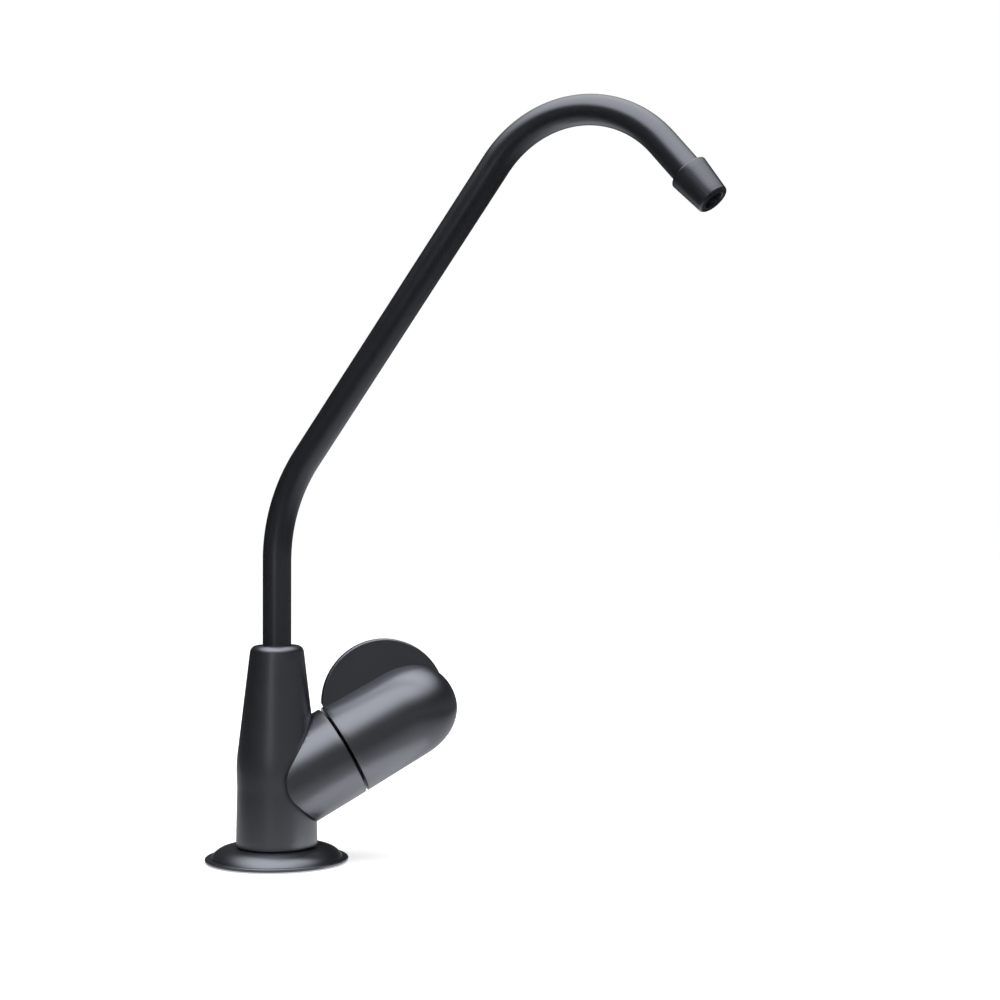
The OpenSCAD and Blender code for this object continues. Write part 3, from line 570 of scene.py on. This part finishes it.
makeNozzle(*makeTube())
print("spout bent and nozzle set")


# what is under the deck: shank, nut, washers, inlet and gasket

pitch = inch / 24
thread = {"deep": 0.6134, "rootTo": 1 / 4, "crestFrom": 9 / 16, "crestTo": 11 / 16}  # shares of the pitch
threadDeep = thread["deep"] * pitch


def threadedRod(name, outer, low, high):  # one turn of its outline, screwed along Z and cut to length
    root = outer - threadDeep
    start = (floor(low / pitch) - 1) * pitch  # keeps nut and shank in step
    rod = drawOutline(name, [(root, start), (root, start + pitch * thread["rootTo"]),
                             (outer, start + pitch * thread["crestFrom"]),
                             (outer, start + pitch * thread["crestTo"]), (root, start + pitch)])
    pick(rod)
    screw = rod.modifiers.new("thread", "SCREW")
    screw.axis = "Z"
    screw.screw_offset = pitch * mm
    screw.iterations = ceil((high - low) / pitch) + 3  # spare turns at both ends
    screw.steps = screw.render_steps = 40
    screw.use_merge_vertices = True
    screw.merge_threshold = meshing["weld"] * mm
    bpy.ops.object.modifier_apply(modifier=screw.name)
    bpy.ops.object.mode_set(mode="EDIT")
    for level, keepsAbove in ((low, True), (high, False)):
        bpy.ops.mesh.select_all(action="SELECT")
        bpy.ops.mesh.bisect(plane_co=(0, 0, level * mm), plane_no=(0, 0, 1), use_fill=True,
                            clear_inner=keepsAbove, clear_outer=not keepsAbove,
                            threshold=meshing["cutWeld"] * mm)
    cleanUp()
    return rod


shank = {"radius": 7 / 32 * inch, "clearance": 0.05, "plainTo": -16.0, "plainEdge": 0.15, "threadFrom": -18.0,
         "end": -56.0, "relief": 0.5, "collar": 6.4, "collarFrom": 0.3, "collarTo": 5.5, "collarEdge": 0.2,
         "collarGap": 0.1, "top": 5.0, "topTo": 17.3, "topEdge": 0.4, "bore": 3.0, "edge": 0.3,
         "leadPast": 0.2}
shankHole = shank["radius"] + shank["clearance"]  # in all that sits on the shank


def makeShank():
    radius, end, top = shank["radius"], shank["end"], shank["topTo"]
    collarFrom, collarTo = shank["collarFrom"], shank["collarTo"]
    piece = threadedRod("shank", radius, end, shank["threadFrom"])
    neck, neckEnd = radius - shank["relief"], shank["threadFrom"] - shank["edge"]
    plain = roundCorners([(0, neckEnd), (neck, neckEnd), (neck, shank["plainTo"]),
                          (radius, shank["plainTo"], shank["plainEdge"]), (radius, collarFrom),
                          (shank["collar"], collarFrom, shank["collarEdge"]),
                          (shank["collar"], collarTo, shank["collarEdge"]), (shank["top"], collarTo),
                          (shank["top"], top, shank["topEdge"]), (0, top)])
    combined(piece, turned("plain", plain), "UNION")
    # the thread's lead-in at the foot
    lead, past = threadDeep + shank["edge"], meshing["past"]
    over, wide = radius + shank["leadPast"], 2 * radius
    taper = turned("taper", [(0, end - past), (radius - lead, end - past), (radius - lead, end),
                             (over, end + lead + shank["leadPast"]), (over, collarFrom - shank["collarGap"]),
                             (wide, collarFrom), (wide, top + past), (0, top + past)])
    combined(piece, taper, "INTERSECT")
    combined(piece, stepped("bore", [shank["bore"]], (end - past, top + past)), "DIFFERENCE")
    finished(piece, "tap_body", machinedBrass, "threaded_shank")


clampNut = {"across": 17.5, "low": -30.4, "high": -24.4, "turn": 30, "chamfer": 0.8, "chamferTilt": 30,
            "cornerCut": 0.2, "sink": 0.35}


def makeNut():
    high, low, across = clampNut["high"], clampNut["low"], clampNut["across"]
    piece = prism("nut", 6, across / sqrt(3), low, high, clampNut["turn"])
    chamfer, flat = clampNut["chamfer"], across / 2 - clampNut["cornerCut"]
    spread = flat + chamfer / tan(radians(clampNut["chamferTilt"]))
    corners = turned("corners", [(0, low), (flat, low), (spread, low + chamfer), (spread, high - chamfer),
                                 (flat, high), (0, high)])
    combined(piece, corners, "INTERSECT")
    combined(piece, threadedRod("nutThread", shankHole, low - pitch, high + pitch), "DIFFERENCE")
    mouth, past = shankHole + clampNut["sink"], meshing["past"]
    deep = clampNut["sink"] + past
    for level, way in ((low, 1), (high, -1)):  # countersinks
        sink = turned("sink", [(0, level - way * past), (mouth + past, level - way * past), (mouth, level),
                               (mouth - deep, level + way * deep), (0, level + way * deep)])
        combined(piece, sink, "DIFFERENCE")
    finished(piece, "fixing_nut", machinedBrass, "fixing_nut")


lockWasher = {"outer": 9.0, "low": -24.4, "thick": 1.2, "cut": 1.0, "innerEdge": 0.15, "outerEdge": 0.2}


def makeLockWasher():
    inner, outer = shankHole, lockWasher["outer"]
    low, high = lockWasher["low"], lockWasher["low"] + lockWasher["thick"]
    section = roundCorners([(inner, low, lockWasher["innerEdge"]), (outer, low, lockWasher["outerEdge"]),
                            (outer, high, lockWasher["outerEdge"]),
                            (inner, high, lockWasher["innerEdge"])], steps=4)
    piece = drawOutline("lockWasher", section, closed=True)
    gap = lockWasher["cut"] / (inner + outer) * 2
    bpy.ops.mesh.spin(steps=90, angle=2 * pi - gap, center=(0, 0, 0), axis=(0, 0, 1))
    cleanUp()
    placed(piece, Matrix.Rotation(-gap / 2, 4, "Z"))
    finished(piece, "clamp_washers", zincSteel, "lock_washer")


connector = {"radius": 8.5, "high": -46.0, "low": -73.8, "endEdge": 0.6, "ribs": 28, "ribDeep": 0.45,
             "ribInset": 0.2, "ribFrom": -48.5, "ribTo": -60.0, "core": 7.9, "shoulder": 0.8,
             "shoulderEdge": 0.3, "stopAt": -56.05, "waterway": 2.4, "guideFrom": -58.05, "guide": 3.2,
             "sealFrom": -64.05, "sealHole": 4.95, "colletFrom": -65.8, "colletHole": 5.5}


def makeConnector():
    high, low = connector["ribFrom"], connector["ribTo"]
    piece = prism("connector", 2 * connector["ribs"], connector["radius"], low, high)
    # every other side face is sunk between the grip's ribs
    bpy.context.tool_settings.mesh_select_mode = (False, False, True)
    sides = [face for face in piece.data.polygons if abs(face.normal.z) < 0.5]
    sides.sort(key=lambda face: atan2(face.center.y, face.center.x))
    for part in (piece.data.vertices, piece.data.edges, piece.data.polygons):
        part.foreach_set("select", [False] * len(part))
    for face in sides[::2]:
        face.select = True
    bpy.ops.object.mode_set(mode="EDIT")
    bpy.ops.mesh.inset(thickness=connector["ribInset"] * mm, use_individual=True)
    bpy.ops.transform.shrink_fatten(value=-connector["ribDeep"] * mm)
    bpy.context.tool_settings.mesh_select_mode = (True, False, False)
    cleanUp()
    # the plain shell above, under and inside the grip
    edge, core, endEdge = connector["radius"], connector["core"], connector["endEdge"]
    shoulder, shoulderEdge = connector["shoulder"], connector["shoulderEdge"]
    shell = turned("shell", roundCorners([(0, connector["low"]), (edge, connector["low"], endEdge),
                                          (edge, low - shoulder, shoulderEdge), (core, low), (core, high),
                                          (edge, high + shoulder, shoulderEdge),
                                          (edge, connector["high"], endEdge), (0, connector["high"])]))
    combined(piece, shell, "UNION")
    hollow = stepped("hollow", (shankHole, connector["waterway"], connector["guide"], connector["sealHole"],
                                connector["colletHole"]),
                     (connector["high"] + meshing["past"], connector["stopAt"], connector["guideFrom"],
                      connector["sealFrom"], connector["colletFrom"], connector["low"] - meshing["past"]))
    combined(piece, hollow, "DIFFERENCE")
    finished(piece, "tap_body", whitePlastic, "inlet_connector")


collet = {"bore": 3.3, "boreFootEdge": 0.4, "boreTopEdge": 0.2, "rim": 7.2, "rimThick": 1.4,
          "rimFootEdge": 0.5, "rimTopEdge": 0.4, "sleeve": 5.45, "sleeveEdge": 0.3}


def makeCollet():
    low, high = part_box("inlet_collet")
    foot, top = low[2] / mm, high[2] / mm
    rimTop = foot + collet["rimThick"]
    outline = roundCorners([(collet["bore"], foot, collet["boreFootEdge"]),
                            (collet["rim"], foot, collet["rimFootEdge"]),
                            (collet["rim"], rimTop, collet["rimTopEdge"]), (collet["sleeve"], rimTop),
                            (collet["sleeve"], top, collet["sleeveEdge"]),
                            (collet["bore"], top, collet["boreTopEdge"])], steps=4)
    finished(turned("collet", outline, closed=True), "collet", whitePlastic, "inlet_collet")


gasket = {"inner": 9.0, "outer": 20.9, "low": 0.0, "high": 1.6, "edge": 0.3, "around": 128}
softWasher = {"inner": shankHole, "outer": 16.0, "low": -22.0, "high": -20.0, "edge": 0.35}
metalWasher = {"inner": shankHole, "outer": 14.0, "low": -23.2, "high": -22.0, "edge": 0.15}


def ring(name, inner, outer, low, high, edge, around=96):
    return turned(name, roundCorners([(inner, low, edge), (outer, low, edge), (outer, high, edge),
                                      (inner, high, edge)], steps=4), around, closed=True)


makeShank()
makeNut()
makeLockWasher()
makeConnector()
makeCollet()
finished(ring("gasket", **gasket), "tap_body", blackRubber, "base_gasket")
finished(ring("softWasher", **softWasher), "clamp_washers", blackRubber, "deck_soft_washer")
finished(ring("metalWasher", **metalWasher), "clamp_washers", zincSteel, "deck_metal_washer")
print("shank, washers, nut and inlet made")


# camera, floor and light, in metres

view = {"place": (0.3897, -0.5665, 0.1213), "towards": (-0.4695, 0.8829, 0.0073), "lens": 70.2, "sensor": 36,
        "nearest": 0.01}
bpy.ops.object.camera_add(location=view["place"])
camera = bpy.context.object
camera.rotation_euler = Vector(view["towards"]).to_track_quat("-Z", "Y").to_euler()
camera.data.lens = view["lens"]
camera.data.sensor_width = view["sensor"]
camera.data.clip_start = view["nearest"]
bpy.context.scene.camera = camera


def addPlane(name, size, place):
    deselectAll()
    bpy.ops.mesh.primitive_plane_add(size=size, location=place)
    plane = bpy.context.object
    plane.name = name
    return plane


def seenFactor(finish):  # 1 for what the camera, mirrors and glass see
    seen = finish.node("LightPath", output="Is Camera Ray")
    for ray in ("Is Glossy Ray", "Is Transmission Ray"):
        seen = finish.node("Math", {"operation": "MAXIMUM"}, i0=seen, i1=finish.node("LightPath", output=ray))
    return seen


def farness(finish, near, far, middle=(0, 0, 0)):  # 0 near the middle, 1 far from it
    distance = finish.node("VectorMath", {"operation": "DISTANCE"}, output="Value", i0=finish.place(),
                           i1=middle)
    return finish.node("MapRange", Value=distance, From_Min=near, From_Max=far)


def fading(finish, first, second, near, far):  # the first value near the middle, the second far from it
    return first + (second - first) * farness(finish, near, far)


def glowing(finish, glow):  # black but for its own light
    return finish.surface(Base_Color=(0, 0, 0, 1), Roughness=1.0, Specular_IOR_Level=0.0,
                          Emission_Color=(1, 1, 1, 1), Emission_Strength=glow)


def onlyInGloss(card):  # cards that only the object's gloss shows
    card.visible_camera = card.visible_diffuse = card.visible_shadow = card.visible_transmission = False


studio = {"floorSize": 8.0, "floorUnder": 0.0001, "floorColour": 0.80, "glowNear": 0.5, "glowFar": 1.0,
          "nearTo": 0.15, "farFrom": 0.55, "worldLight": 0.2}


def paleFloor():
    ground = addPlane("paleFloor", studio["floorSize"], (0, 0, -studio["floorUnder"]))
    finish = Finish("paleFloor")
    glow = fading(finish, studio["glowNear"], studio["glowFar"], studio["nearTo"], studio["farFrom"])
    finish.surface(Base_Color=(studio["floorColour"],) * 3 + (1,), Roughness=0.9, Specular_IOR_Level=0.0,
                   Emission_Color=(1, 1, 1, 1), Emission_Strength=seenFactor(finish) * glow)
    ground.data.materials.append(finish.owner)


def softWorld():
    world = bpy.data.worlds.new("studioWorld")
    bpy.context.scene.world = world
    finish = Finish("studioWorld", world)
    strength = studio["worldLight"] + (1 - studio["worldLight"]) * seenFactor(finish)
    finish.feed(finish.tree.nodes["Background"], {"Color": (1, 1, 1, 1), "Strength": strength})


bowl = {"middle": (0.042, 0.025, 0.0004), "sheet": 0.036, "clothFrom": 0.24, "far": 1.1, "high": 1.2,
        "fade": (0.12, 0.40), "sheetGlow": 0.52, "clothGlow": 0.05, "wallFrom": 0.005, "wallGlow": 0.12,
        "wallSide": 0.10, "topGlow": 0.02, "rear": (-0.16, 0.25, 0), "rearFrom": 0.10, "rearTo": 0.34,
        "rearGlow": 0.9}


def darkBowl():  # dark cloth and walls round a white sheet
    deselectAll()
    bpy.ops.mesh.primitive_circle_add(vertices=96, radius=bowl["sheet"], location=bowl["middle"])
    cloth = bpy.context.object
    cloth.name = "darkBowl"
    bpy.ops.object.mode_set(mode="EDIT")
    bpy.ops.mesh.select_all(action="SELECT")
    bpy.ops.mesh.extrude_region_move()
    spread = bowl["far"] / bowl["sheet"]
    bpy.ops.transform.resize(value=(spread, spread, 1), center_override=bowl["middle"])
    bpy.ops.mesh.extrude_region_move(TRANSFORM_OT_translate={"value": (0, 0, bowl["high"])})
    bpy.ops.object.mode_set(mode="OBJECT")
    finish = Finish("darkCloth")
    side = finish.node("SeparateXYZ", output="X", Vector=finish.place())
    height = finish.node("SeparateXYZ", output="Z", Vector=finish.place())
    ground = fading(finish, bowl["sheetGlow"], bowl["clothGlow"], bowl["sheet"], bowl["clothFrom"])
    ground += bowl["rearGlow"] * (1 - farness(finish, bowl["rearFrom"], bowl["rearTo"], bowl["rear"]))
    low = 1 - finish.node("MapRange", Value=height, From_Min=bowl["fade"][0], From_Max=bowl["fade"][1])
    wall = bowl["topGlow"] + (bowl["wallGlow"] + bowl["wallSide"] * side) * low
    onWall = finish.node("Math", {"operation": "GREATER_THAN"}, i0=height, i1=bowl["wallFrom"])
    cloth.data.materials.append(glowing(finish, ground * (1 - onWall) + wall * onWall))
    onlyInGloss(cloth)


strip = {"way": radians(-77), "far": 1.0, "wide": 0.3, "high": 0.5, "glow": 0.55}


def stripCard():  # a tall dim card beside the camera
    way = Vector((cos(strip["way"]), sin(strip["way"]), 0))
    card = addPlane("stripCard", 1, way * strip["far"] + Vector((0, 0, strip["high"] / 2)))
    card.scale = (strip["wide"], strip["high"], 1)
    card.rotation_euler = way.to_track_quat("Z", "Y").to_euler()
    card.data.materials.append(glowing(Finish("stripCard"), strip["glow"]))
    onlyInGloss(card)


softboxCard = {"place": (0.1, -0.3, 0.78), "size": 2.1, "stretch": 1.25, "bright": 0.40, "dim": 0.95,
               "glow": 2.45}


def softCard():  # the softbox in the gloss, with soft edges
    card = addPlane("softboxCard", softboxCard["size"], softboxCard["place"])
    card.scale.y = softboxCard["stretch"]
    finish = Finish("softboxCard")
    glow = softboxCard["glow"] * (1 - farness(finish, softboxCard["bright"], softboxCard["dim"]))
    card.data.materials.append(glowing(finish, glow))
    onlyInGloss(card)


softbox = {"place": (0.1, -0.15, 0.78), "size": (1.2, 1.1), "power": 12.0}


def overheadSoftbox():
    deselectAll()
    bpy.ops.object.light_add(type="AREA", location=softbox["place"])
    lamp = bpy.context.object
    lamp.name = "overheadSoftbox"
    lamp.data.shape = "RECTANGLE"
    lamp.data.size, lamp.data.size_y = softbox["size"]
    lamp.data.energy = softbox["power"]
    lamp.visible_camera = lamp.visible_glossy = False  # the card stands for it in the gloss


paleFloor()
darkBowl()
stripCard()
softCard()
softWorld()
overheadSoftbox()
bpy.context.scene.view_settings.view_transform = "Standard"
print("camera, floor and light set")
